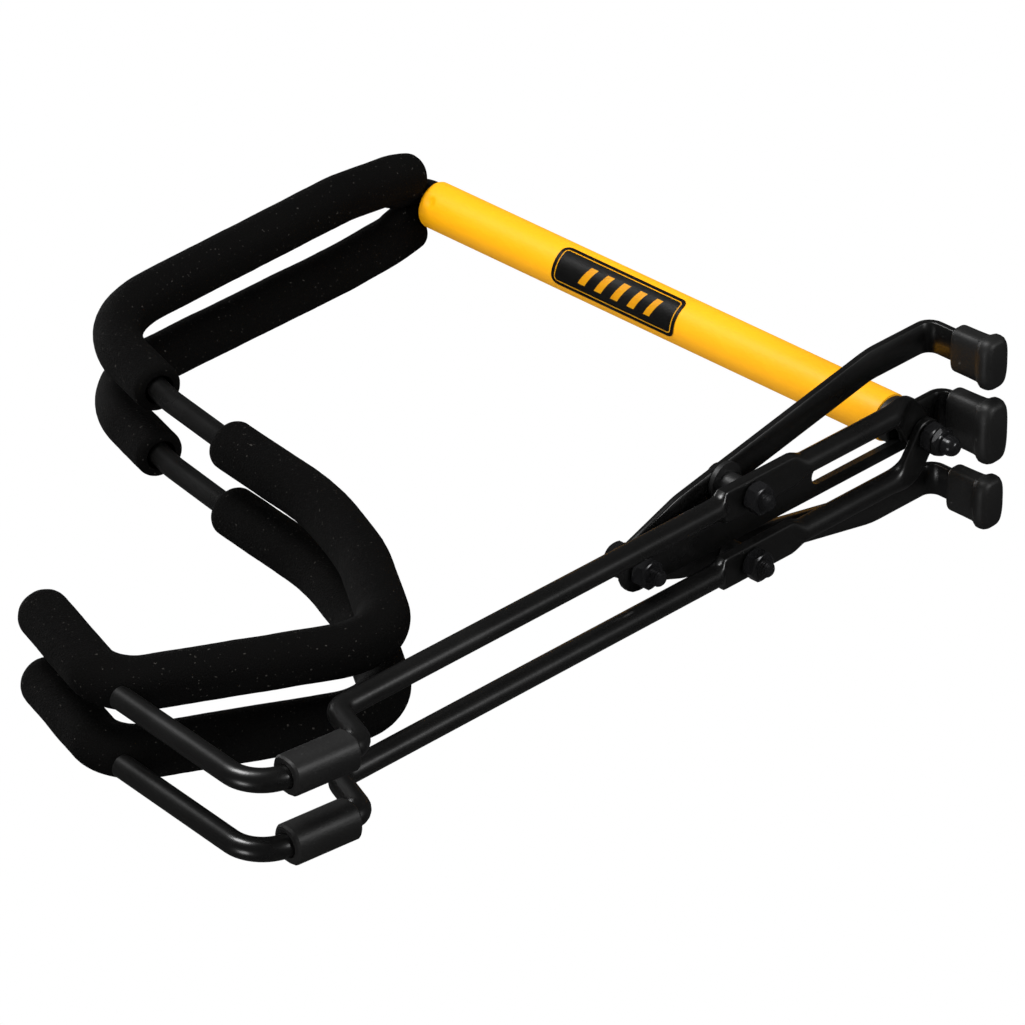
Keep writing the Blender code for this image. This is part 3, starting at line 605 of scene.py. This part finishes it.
def make_label(material):
    """Thin curved label with rounded corners; its UV is in millimetres over 100."""
    body = bmesh.new()
    uv = body.loops.layers.uv.new("UVMap")
    half_w = (LABEL_Z[1] - LABEL_Z[0]) / 2.0
    half_h = LABEL_R * math.radians(LABEL_HALF)
    middle_z = (LABEL_Z[0] + LABEL_Z[1]) / 2.0
    columns = []
    flat = {}
    us = [-half_w + LABEL_CORNER * (1.0 - math.cos(math.pi / 2.0 * part / 8)) for part in range(9)]
    us += [-half_w + LABEL_CORNER + (2 * half_w - 2 * LABEL_CORNER) * part / 30 for part in range(1, 30)]
    us += [-value for value in reversed(us[:9])]
    rows = 24
    for u in us:
        past = max(0.0, abs(u) - (half_w - LABEL_CORNER))
        tall = half_h - LABEL_CORNER + math.sqrt(max(0.0, LABEL_CORNER ** 2 - past ** 2))
        column = []
        for part in range(rows + 1):
            v = -tall + 2.0 * tall * part / rows
            angle = math.radians(LABEL_TURN) + v / LABEL_R
            vert = body.verts.new((LABEL_R * math.cos(angle), LABEL_R * math.sin(angle), middle_z + u))
            flat[vert] = (u / 100.0, v / 100.0)
            column.append(vert)
        columns.append(column)
    for one, two in zip(columns, columns[1:]):
        for row in range(rows):
            face = body.faces.new((one[row], one[row + 1], two[row + 1], two[row]))
            for loop in face.loops:
                loop[uv].uv = flat[loop.vert]
    face_normal = body.faces[:][len(body.faces) // 2]
    face_normal.normal_update()
    outward = Vector((face_normal.calc_center_median().x, face_normal.calc_center_median().y, 0.0))
    if face_normal.normal.dot(outward) < 0.0:
        bmesh.ops.reverse_faces(body, faces=body.faces)
    bmesh.ops.solidify(body, geom=body.faces[:], thickness=0.12)
    piece = finish_piece("label_shown", body, material, "post_label")
    soften(piece, 50.0)


# ---------------------------------------------------------------- fasteners

def thread_levels(radius, top, bottom, pitch=1.0):
    """Levels of a threaded end, from its chamfered tip up to plain shank."""
    levels = [(radius - 0.9, bottom), (radius - 0.35, bottom + 0.55)]
    z = bottom + 0.8
    while z + pitch < top:
        levels += [(radius - 0.42, z), (radius, z + 0.4), (radius, z + 0.55)]
        z += pitch
    levels.append((radius - 0.1, top))
    return levels


def hexagon(across_flats, low, high, centre, turn):
    """Hexagonal prism whose corners a turned double chamfer has cut back."""
    corner = across_flats / math.sqrt(3.0)
    inner = across_flats / 2.0 * 0.93
    levels = [(inner, low), ((inner + corner) / 2.0 + 0.1, low + 0.45), (corner + 0.02, low + 0.95),
              (corner + 0.02, high - 0.95), ((inner + corner) / 2.0 + 0.1, high - 0.45), (inner, high)]
    chamfer = turned(levels, 48, centre)
    prism = turned([(corner, low - 1.0), (corner, high + 1.0)], 6, centre)
    only(prism)
    bpy.ops.object.mode_set(mode="EDIT")
    bpy.ops.mesh.select_all(action="SELECT")
    bpy.ops.transform.rotate(value=-turn, orient_axis="Z", center_override=tuple(centre))
    bpy.ops.object.mode_set(mode="OBJECT")
    for piece in (chamfer, prism):
        only(piece)
        bpy.ops.object.mode_set(mode="EDIT")
        bpy.ops.mesh.select_all(action="SELECT")
        bpy.ops.mesh.normals_make_consistent(inside=False)
        bpy.ops.object.mode_set(mode="OBJECT")
    only(prism)
    cut = prism.modifiers.new("chamfer", "BOOLEAN")
    cut.operation = "INTERSECT"
    cut.object = chamfer
    bpy.ops.object.modifier_apply(modifier=cut.name)
    bpy.data.objects.remove(chamfer)
    return prism


def joined(first, second):
    """Two solids as one piece."""
    only(first)
    second.select_set(True)
    bpy.ops.object.join()
    return first


def design_box(node):
    """Lowest and highest z of an upright fastener, in post millimetres, and its centre."""
    low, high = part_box(node)
    back = SPACE.inverted()
    centre = back @ ((low + high) / 2.0)
    half = (high.z - low.z) / MM / 2.0
    slant = (high.x - low.x) / MM / 2.0 * 0.0218
    return centre, centre.z - half + slant, centre.z + half - slant


def make_nut(node, turn, material):
    centre, low, high = design_box(node)
    modelled(node + "_shown", hexagon(NUT_FLATS, low, high, centre, turn), material, node)


def make_threaded(node, material, head=None):
    """Bolt with a threaded end, and a hexagonal head where it has one."""
    centre, low, high = design_box(node)
    top = high if head is None else high - head + 0.2
    piece = turned(thread_levels(THREAD_R, top, low), 32, centre)
    if head is not None:
        piece = joined(piece, hexagon(NUT_FLATS, high - head, high, centre, 0.4))
    modelled(node + "_shown", piece, material, node)


def make_dome_nut(node, material):
    """Domed cap nut: hexagon above, collar, and a rounded tip."""
    centre, low, high = design_box(node)
    levels = [(0.15, low), (0.8, low + 0.07), (1.3, low + 0.3)]
    levels += [(1.3 + 2.3 * math.sin(math.radians(part)), low + 3.6 - 3.3 * math.cos(math.radians(part)))
               for part in (12, 24, 36, 48, 60, 72, 84, 90)]
    levels += [(3.65, low + 5.0), (3.4, low + 5.2), (3.4, low + 5.6), (4.4, low + 5.8), (4.5, low + 6.4)]
    piece = joined(turned(levels, 48, centre), hexagon(DOME_NUT_FLATS, low + 6.2, high, centre, 0.9))
    modelled(node + "_shown", piece, material, node, 35.0)


def make_round_head(node, material):
    """Low button head of a cross pivot, domed, with its stub."""
    centre, low, high = design_box(node)
    head = high - HEAD_HEIGHT
    levels = [(2.9, low), (2.9, head + 0.1), (HEAD_R - 0.2, head + 0.1), (HEAD_R, head + 0.5)]
    levels += [(HEAD_R * math.cos(math.radians(part)), head + 0.5 + 1.7 * math.sin(math.radians(part)))
               for part in (15, 30, 45, 60, 75, 87)]
    modelled(node + "_shown", turned(levels, 48, centre), material, node, 35.0)


def rounded_box(width, depth, corner, swell, sides=64):
    """Rounded rectangle outline whose long sides bow outwards by swell."""
    outline = []
    for index in range(sides):
        angle = 2.0 * math.pi * (index + 0.5) / sides
        x = math.copysign(abs(math.cos(angle)) ** corner, math.cos(angle))
        y = math.copysign(abs(math.sin(angle)) ** corner, math.sin(angle))
        outline.append((x * width / 2.0 + swell * x * (1.0 - y * y), y * depth / 2.0))
    return outline


def make_rear_cap(node, material):
    """Rubber cap over the end of a leg: a rounded box that swells into its foot, flat on the floor."""
    low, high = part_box(node)
    middle = (low + high) / 2.0
    width = (high.x - low.x) / MM
    depth = (high.y - low.y) / MM
    tall = (high.z - low.z) / MM
    body = bmesh.new()
    rings = []
    for height, wide, deep, bow in REAR_CAP_LEVELS:
        spot = Vector((middle.x / MM, middle.y / MM, low.z / MM + tall * height))
        outline = rounded_box(width * wide, depth * deep, 0.55, bow)
        rings.append(ring(body, spot, Vector((1.0, 0.0, 0.0)), Vector((0.0, 1.0, 0.0)), outline))
    for one, two in zip(rings, rings[1:]):
        join_rings(body, one, two)
    body.faces.new(rings[0][::-1])
    body.faces.new(rings[-1])
    bmesh.ops.transform(body, matrix=SPACE.inverted() @ Matrix.Scale(MM, 4), verts=body.verts)
    soften(finish_piece(node + "_shown", body, material, node), 50.0)


# ---------------------------------------------------------------- finishes

def new_group(name, sockets_in, sockets_out):
    group = bpy.data.node_groups.new(name, "ShaderNodeTree")
    for label, kind, value in sockets_in:
        socket = group.interface.new_socket(label, in_out="INPUT", socket_type=kind)
        if value is not None:
            socket.default_value = value
    for label, kind in sockets_out:
        group.interface.new_socket(label, in_out="OUTPUT", socket_type=kind)
    return group


def make_surface_group():
    """Grain and handling marks: broad patches, fine grain and small specks."""
    group = new_group(
        "Surface marks",
        [("Broad Scale", "NodeSocketFloat", 30.0), ("Grain Scale", "NodeSocketFloat", 900.0),
         ("Speck Scale", "NodeSocketFloat", 420.0), ("Speck Level", "NodeSocketFloat", 0.72)],
        [("Broad", "NodeSocketFloat"), ("Grain", "NodeSocketFloat"), ("Specks", "NodeSocketFloat")],
    )
    nodes = group.nodes
    link = group.links.new
    entry = nodes.new("NodeGroupInput")
    leave = nodes.new("NodeGroupOutput")
    place = nodes.new("ShaderNodeTexCoord")
    for source, target, detail in (("Broad Scale", "Broad", 4.0), ("Grain Scale", "Grain", 3.0)):
        pattern = nodes.new("ShaderNodeTexNoise")
        pattern.inputs["Detail"].default_value = detail
        link(place.outputs["Object"], pattern.inputs["Vector"])
        link(entry.outputs[source], pattern.inputs["Scale"])
        link(pattern.outputs["Fac"], leave.inputs[target])
    specks = nodes.new("ShaderNodeTexNoise")
    specks.inputs["Detail"].default_value = 1.0
    link(place.outputs["Object"], specks.inputs["Vector"])
    link(entry.outputs["Speck Scale"], specks.inputs["Scale"])
    above = nodes.new("ShaderNodeMath")
    above.operation = "SUBTRACT"
    link(specks.outputs["Fac"], above.inputs[0])
    link(entry.outputs["Speck Level"], above.inputs[1])
    strong = nodes.new("ShaderNodeMath")
    strong.operation = "MULTIPLY"
    strong.use_clamp = True
    strong.inputs[1].default_value = 18.0
    link(above.outputs[0], strong.inputs[0])
    link(strong.outputs[0], leave.inputs["Specks"])
    return group


SURFACE = make_surface_group()


def blank_material(name):
    material = bpy.data.materials.new(name)
    material.use_nodes = True
    shader = material.node_tree.nodes["Principled BSDF"]
    return material, material.node_tree, shader


def marks(tree, broad, grain, speck, level):
    node = tree.nodes.new("ShaderNodeGroup")
    node.node_tree = SURFACE
    node.inputs["Broad Scale"].default_value = broad
    node.inputs["Grain Scale"].default_value = grain
    node.inputs["Speck Scale"].default_value = speck
    node.inputs["Speck Level"].default_value = level
    return node


def mix_color(tree, factor, dark, light):
    mix = tree.nodes.new("ShaderNodeMix")
    mix.data_type = "RGBA"
    tree.links.new(factor, mix.inputs[0])
    for socket, color in ((mix.inputs[6], dark), (mix.inputs[7], light)):
        if isinstance(color, tuple):
            socket.default_value = (*color, 1.0)
        else:
            tree.links.new(color, socket)
    return mix.outputs[2]


def ranged(tree, source, low, high):
    node = tree.nodes.new("ShaderNodeMapRange")
    node.inputs["From Min"].default_value = 0.3
    node.inputs["From Max"].default_value = 0.7
    node.inputs["To Min"].default_value = low
    node.inputs["To Max"].default_value = high
    tree.links.new(source, node.inputs["Value"])
    return node.outputs["Result"]


def bump(tree, shader, height, strength, distance):
    node = tree.nodes.new("ShaderNodeBump")
    node.inputs["Strength"].default_value = strength
    node.inputs["Distance"].default_value = distance
    tree.links.new(height, node.inputs["Height"])
    tree.links.new(node.outputs["Normal"], shader.inputs["Normal"])


def coated(name, dark, light, rough, grain, strength, distance, specks=(420.0, 0.9), speck_color=None):
    """A finish with patches of colour, uneven gloss and a fine grain: its material and its shader."""
    material, tree, shader = blank_material(name)
    node = marks(tree, 26.0, grain, specks[0], specks[1])
    color = mix_color(tree, node.outputs["Broad"], dark, light)
    if speck_color is not None:
        color = mix_color(tree, node.outputs["Specks"], color, speck_color)
    tree.links.new(color, shader.inputs["Base Color"])
    tree.links.new(ranged(tree, node.outputs["Broad"], rough[0], rough[1]), shader.inputs["Roughness"])
    bump(tree, shader, node.outputs["Grain"], strength, distance)
    return material, shader


def make_yellow():
    material, shader = coated("yellow powder coat", (0.95, 0.4, 0.0), (1.0, 0.46, 0.0), (0.44, 0.56),
                              420.0, 0.25, 0.0004)
    shader.inputs["Specular IOR Level"].default_value = 0.28
    shader.inputs["Coat Weight"].default_value = 0.06
    shader.inputs["Coat Roughness"].default_value = 0.3
    return material


def make_black_paint():
    material, shader = coated("black powder coat", (0.0025, 0.0025, 0.0025), (0.005, 0.0049, 0.0047),
                              (0.24, 0.36), 700.0, 0.12, 0.0002)
    shader.inputs["Specular IOR Level"].default_value = 0.5
    return material


def make_foam():
    material, shader = coated("black foam", (0.001, 0.0009, 0.0009), (0.0022, 0.0021, 0.0019), (0.86, 0.98),
                              1500.0, 0.55, 0.0006, (900.0, 0.72), (0.032, 0.03, 0.027))
    shader.inputs["Specular IOR Level"].default_value = 0.07
    return material


def make_rubber():
    return coated("black rubber", (0.0045, 0.0045, 0.0045), (0.009, 0.0088, 0.0085), (0.46, 0.6),
                  900.0, 0.25, 0.0004, (500.0, 0.74), (0.05, 0.05, 0.05))[0]


def make_plastic():
    return coated("black plastic", (0.006, 0.006, 0.006), (0.012, 0.012, 0.012), (0.4, 0.52),
                  1100.0, 0.2, 0.0003)[0]


def make_steel():
    material, shader = coated("black oxide steel", (0.01, 0.01, 0.011), (0.022, 0.022, 0.023), (0.18, 0.3),
                              1300.0, 0.08, 0.0001)
    shader.inputs["Metallic"].default_value = 0.55
    return material


def math_node(tree, operation, first, second=None, clamp=False):
    node = tree.nodes.new("ShaderNodeMath")
    node.operation = operation
    node.use_clamp = clamp
    for socket, value in ((node.inputs[0], first), (node.inputs[1], second)):
        if value is None:
            continue
        if isinstance(value, (int, float)):
            socket.default_value = value
        else:
            tree.links.new(value, socket)
    return node.outputs[0]


def make_label_print():
    """Black label, thin yellow outline inside its edge, and five slanted yellow bars."""
    material, tree, shader = blank_material("label print")
    place = tree.nodes.new("ShaderNodeUVMap")
    place.uv_map = "UVMap"
    split = tree.nodes.new("ShaderNodeSeparateXYZ")
    tree.links.new(place.outputs["UV"], split.inputs[0])
    u = math_node(tree, "MULTIPLY", split.outputs[0], 100.0)
    v = math_node(tree, "MULTIPLY", split.outputs[1], 100.0)
    half_w = (LABEL_Z[1] - LABEL_Z[0]) / 2.0 - LABEL_CORNER
    half_h = LABEL_R * math.radians(LABEL_HALF) - LABEL_CORNER
    past_u = math_node(tree, "SUBTRACT", math_node(tree, "ABSOLUTE", u), half_w)
    past_v = math_node(tree, "SUBTRACT", math_node(tree, "ABSOLUTE", v), half_h)
    square_u = math_node(tree, "POWER", math_node(tree, "MAXIMUM", past_u, 0.0), 2.0)
    square_v = math_node(tree, "POWER", math_node(tree, "MAXIMUM", past_v, 0.0), 2.0)
    outside = math_node(tree, "SQRT", math_node(tree, "ADD", square_u, square_v))
    inside = math_node(tree, "MINIMUM", math_node(tree, "MAXIMUM", past_u, past_v), 0.0)
    edge = math_node(tree, "SUBTRACT", math_node(tree, "ADD", outside, inside), LABEL_CORNER)
    off_line = math_node(tree, "ABSOLUTE", math_node(tree, "ADD", edge, 1.7))
    line = math_node(tree, "LESS_THAN", off_line, 0.22)
    slanted = math_node(tree, "ADD", u, math_node(tree, "MULTIPLY", v, 0.45))
    wave = math_node(tree, "FRACT", math_node(tree, "DIVIDE", math_node(tree, "ADD", slanted, 100.0), 8.0))
    bar = math_node(tree, "LESS_THAN", wave, 0.42)
    low_bar = math_node(tree, "LESS_THAN", math_node(tree, "ABSOLUTE", v), 3.6)
    wide_bar = math_node(tree, "LESS_THAN", math_node(tree, "ABSOLUTE", slanted), 19.6)
    bars = math_node(tree, "MULTIPLY", bar, math_node(tree, "MULTIPLY", low_bar, wide_bar))
    print_mask = math_node(tree, "MAXIMUM", line, bars)
    node = marks(tree, 30.0, 900.0, 420.0, 0.9)
    base = mix_color(tree, node.outputs["Broad"], (0.006, 0.006, 0.006), (0.012, 0.011, 0.01))
    tree.links.new(mix_color(tree, print_mask, base, (0.95, 0.5, 0.0)), shader.inputs["Base Color"])
    tree.links.new(ranged(tree, node.outputs["Broad"], 0.34, 0.46), shader.inputs["Roughness"])
    bump(tree, shader, node.outputs["Grain"], 0.15, 0.0002)
    return material


# ---------------------------------------------------------------- stage

CAMERA_PLACE = (1.6711, 1.3698, -1.5125)
CAMERA_AHEAD = (-0.6264, -0.5073, 0.5918)
CAMERA_UP = (-0.3703, 0.8617, 0.3468)
CAMERA_LENS = 280.98
SENSOR = 36.0
# Soft lights: name, metres to the camera's right, up and back from the stand, watts, width
LIGHTS = [
    ("key", -0.7, 1.3, 0.8, 24.0, 0.6),
    ("side", 1.3, 0.2, 0.9, 9.0, 0.45),
    ("low", -0.9, -0.9, 0.9, 5.0, 0.45),
    ("far", -1.1, 0.6, -1.1, 10.0, 0.8),
]
WORLD_DIFFUSE = 0.55
WORLD_GLOSSY = 0.05


def make_camera():
    data = bpy.data.cameras.new("view")
    data.lens = CAMERA_LENS
    data.sensor_width = SENSOR
    data.clip_start = 0.05
    data.clip_end = 50.0
    camera = bpy.data.objects.new("view", data)
    bpy.context.scene.collection.objects.link(camera)
    behind = -Vector(CAMERA_AHEAD).normalized()
    right = Vector(CAMERA_UP).cross(behind).normalized()
    up = behind.cross(right)
    turn = Matrix((right, up, behind)).transposed().to_4x4()
    camera.matrix_world = Matrix.Translation(Vector(CAMERA_PLACE)) @ turn
    bpy.context.scene.camera = camera
    return camera


def make_floor():
    """Pale floor, seen from above only. Light and mirrored rays pass it, and its underside is open."""
    bpy.ops.mesh.primitive_plane_add(size=60.0, location=(0.0, 0.0, -0.0002))
    floor = bpy.context.active_object
    floor.name = "floor"
    material, tree, shader = blank_material("pale floor")
    shader.inputs["Base Color"].default_value = (0.86, 0.86, 0.86, 1.0)
    shader.inputs["Roughness"].default_value = 0.7
    clear = tree.nodes.new("ShaderNodeBsdfTransparent")
    facing = tree.nodes.new("ShaderNodeNewGeometry")
    path = tree.nodes.new("ShaderNodeLightPath")
    mix = tree.nodes.new("ShaderNodeMixShader")
    passing = math_node(tree, "MAXIMUM", path.outputs["Is Shadow Ray"], path.outputs["Is Glossy Ray"])
    open_side = math_node(tree, "MAXIMUM", facing.outputs["Backfacing"], passing)
    tree.links.new(open_side, mix.inputs[0])
    tree.links.new(shader.outputs[0], mix.inputs[1])
    tree.links.new(clear.outputs[0], mix.inputs[2])
    tree.links.new(mix.outputs[0], tree.nodes["Material Output"].inputs["Surface"])
    floor.data.materials.append(material)


def make_world():
    """White surroundings that light evenly but are only dimly mirrored, as by black flags in a studio."""
    world = bpy.data.worlds.new("studio")
    world.use_nodes = True
    tree = world.node_tree
    tree.nodes.clear()
    path = tree.nodes.new("ShaderNodeLightPath")
    mirrored_less = math_node(tree, "MULTIPLY", path.outputs["Is Glossy Ray"], WORLD_DIFFUSE - WORLD_GLOSSY)
    ambient = math_node(tree, "SUBTRACT", WORLD_DIFFUSE, mirrored_less)
    backdrop = math_node(tree, "MAXIMUM", ambient, path.outputs["Is Camera Ray"])
    surroundings = tree.nodes.new("ShaderNodeBackground")
    surroundings.inputs["Color"].default_value = (1.0, 1.0, 1.0, 1.0)
    tree.links.new(backdrop, surroundings.inputs["Strength"])
    out = tree.nodes.new("ShaderNodeOutputWorld")
    tree.links.new(surroundings.outputs[0], out.inputs["Surface"])
    bpy.context.scene.world = world


def make_light(name, sideways, upwards, towards, power, size):
    """Soft light placed by the camera's own directions, aimed at the stand."""
    behind = -Vector(CAMERA_AHEAD).normalized()
    right = Vector(CAMERA_UP).cross(behind).normalized()
    up = behind.cross(right)
    middle = sum(CAD_BOX, Vector()) / 2.0
    data = bpy.data.lights.new(name, "AREA")
    data.energy = power
    data.size = size
    light = bpy.data.objects.new(name, data)
    bpy.context.scene.collection.objects.link(light)
    spot = middle + right * sideways + up * upwards + behind * towards
    aim = (middle - spot).to_track_quat("-Z", "Y")
    light.matrix_world = Matrix.Translation(spot) @ aim.to_matrix().to_4x4()


# ---------------------------------------------------------------- assembly

def build():
    paint = make_black_paint()
    foam = make_foam()
    rubber = make_rubber()
    plastic = make_plastic()
    steel = make_steel()
    make_post(make_yellow())
    make_label(make_label_print())
    for prefix, side in (("left", 1), ("right", -1)):
        make_cradle_rod(prefix, side, paint)
        make_base_rod(prefix, side, paint)
        make_upper_foam(prefix, side, foam)
        make_lower_foam(prefix, side, foam)
        refined(prefix + "_front_foot", rubber, 40.0)
        refined(prefix + "_rear_leg", paint, 50.0)
        make_rear_cap(prefix + "_rear_foot_cap", rubber)
        refined(prefix + "_cross_spacer", plastic, 40.0)
        make_nut(prefix + "_cross_nut", 0.35, steel)
        make_threaded(prefix + "_cross_bolt", steel)
        make_round_head(prefix + "_cross_head", steel)
    refined("centre_leg", paint, 50.0)
    make_rear_cap("centre_foot_cap", rubber)
    refined("post_plug", plastic, 40.0)
    refined("main_spacer", plastic, 40.0)
    refined("front_washer", steel, 40.0)
    refined("main_bolt", steel, 40.0)
    make_nut("main_nut", 0.3, steel)
    make_nut("front_nut", 0.2, steel)
    make_threaded("front_bolt", steel, 3.4)
    make_dome_nut("main_cap_nut", steel)


build()
make_floor()
make_world()
make_camera()
for light in LIGHTS:
    make_light(*light)
bpy.context.scene.view_settings.view_transform = "Standard"
